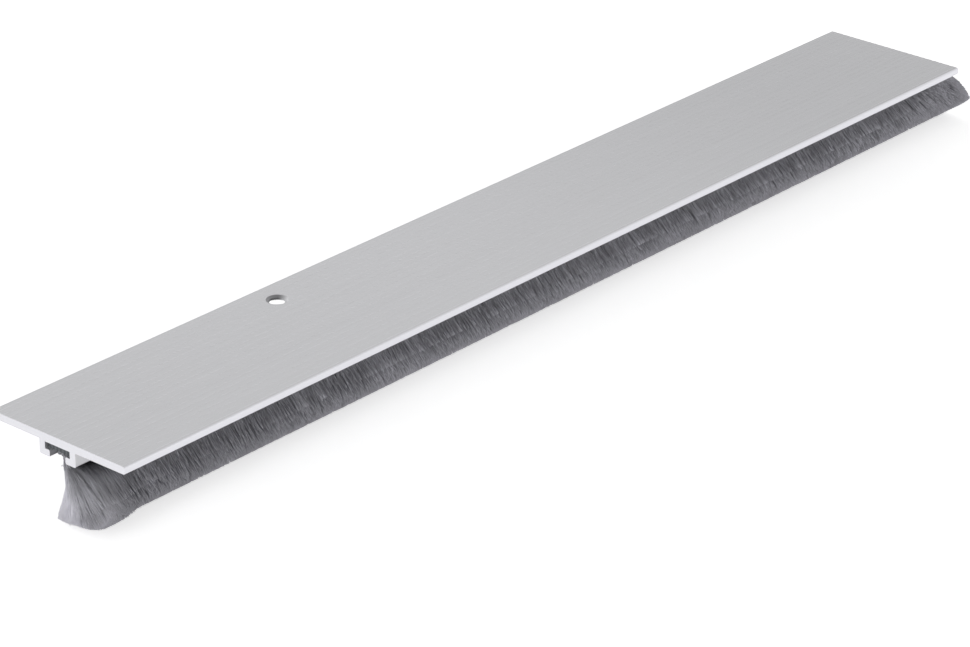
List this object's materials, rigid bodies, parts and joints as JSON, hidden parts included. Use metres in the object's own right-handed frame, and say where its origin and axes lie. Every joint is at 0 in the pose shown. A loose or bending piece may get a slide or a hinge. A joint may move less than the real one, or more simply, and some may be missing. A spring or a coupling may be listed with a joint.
{
  "type": "brush door sweep",
  "caption": "Flat aluminium strip with a lipped channel under its middle that holds a fanned grey brush, fixed under a door to seal the gap to the floor.",
  "frame": {"origin": "middle of the plate's ribbed mounting face", "axes": "+X along the strip towards its far end, +Y across the plate towards the edge with the hole, +Z out of the mounting face; the brush hangs to -Z"},
  "size_m": [0.3146, 0.041, 0.0214],
  "materials": {
    "mill_aluminium": "satin, faint lines along the length",
    "woven_backing": "matt woven ribbon",
    "grey_pile": "fine grey bristle with a soft sheen"
  },
  "bodies": {
    "root": {"carrier_profile": "mill_aluminium", "brush_backing": "woven_backing", "brush_pile": "grey_pile"}
  },
  "joints": []
}
